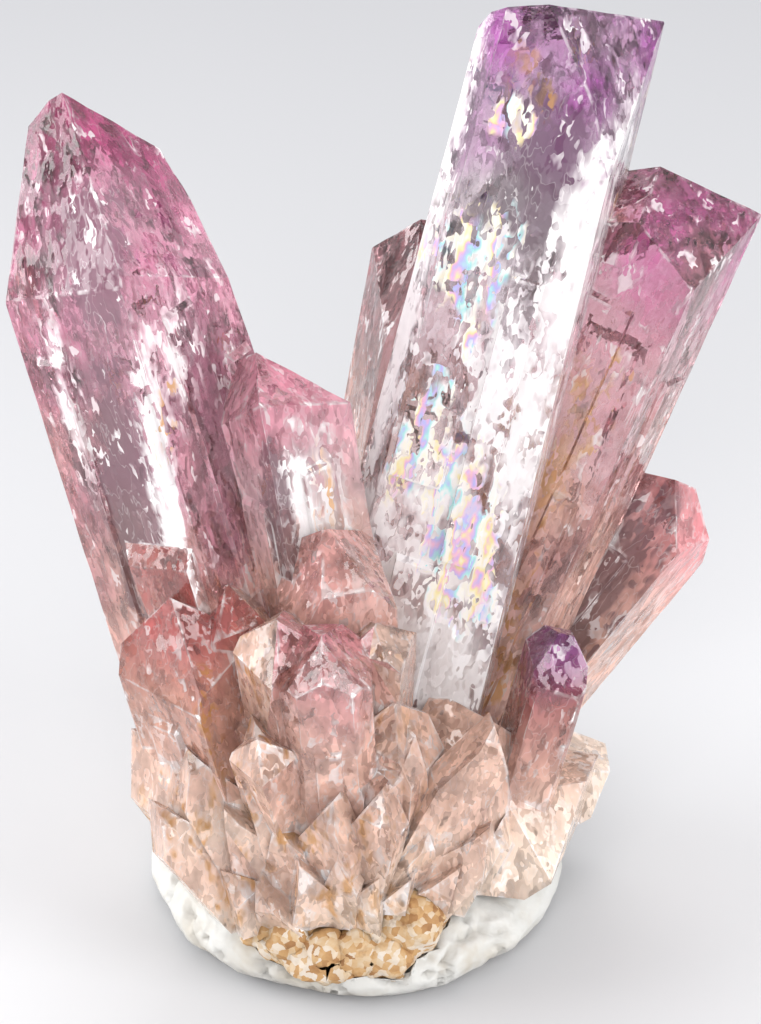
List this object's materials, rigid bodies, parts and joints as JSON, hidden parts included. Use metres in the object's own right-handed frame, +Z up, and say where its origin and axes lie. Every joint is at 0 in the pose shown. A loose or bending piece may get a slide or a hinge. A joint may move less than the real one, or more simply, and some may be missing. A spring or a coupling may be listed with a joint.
{
  "type": "adamite specimen",
  "caption": "Thumbnail mineral specimen: an intergrown spray of clear pink to purple crystals on a rusty limonite crust, standing in a flat disc of white mounting putty.",
  "frame": {"origin": "middle of the putty disc's flat underside", "axes": "+Z up along the specimen's height, -Y out of its display side, +X to its right as seen from the display side"},
  "size_m": [0.027, 0.0182, 0.0358],
  "materials": {
    "adamite": "clear, glassy crystal faces",
    "limonite": "rough, earthy",
    "putty": "matt, kneaded"
  },
  "bodies": {
    "root": {"crystal_cluster": "adamite", "limonite_matrix": "limonite", "putty_base": "putty"}
  },
  "joints": []
}
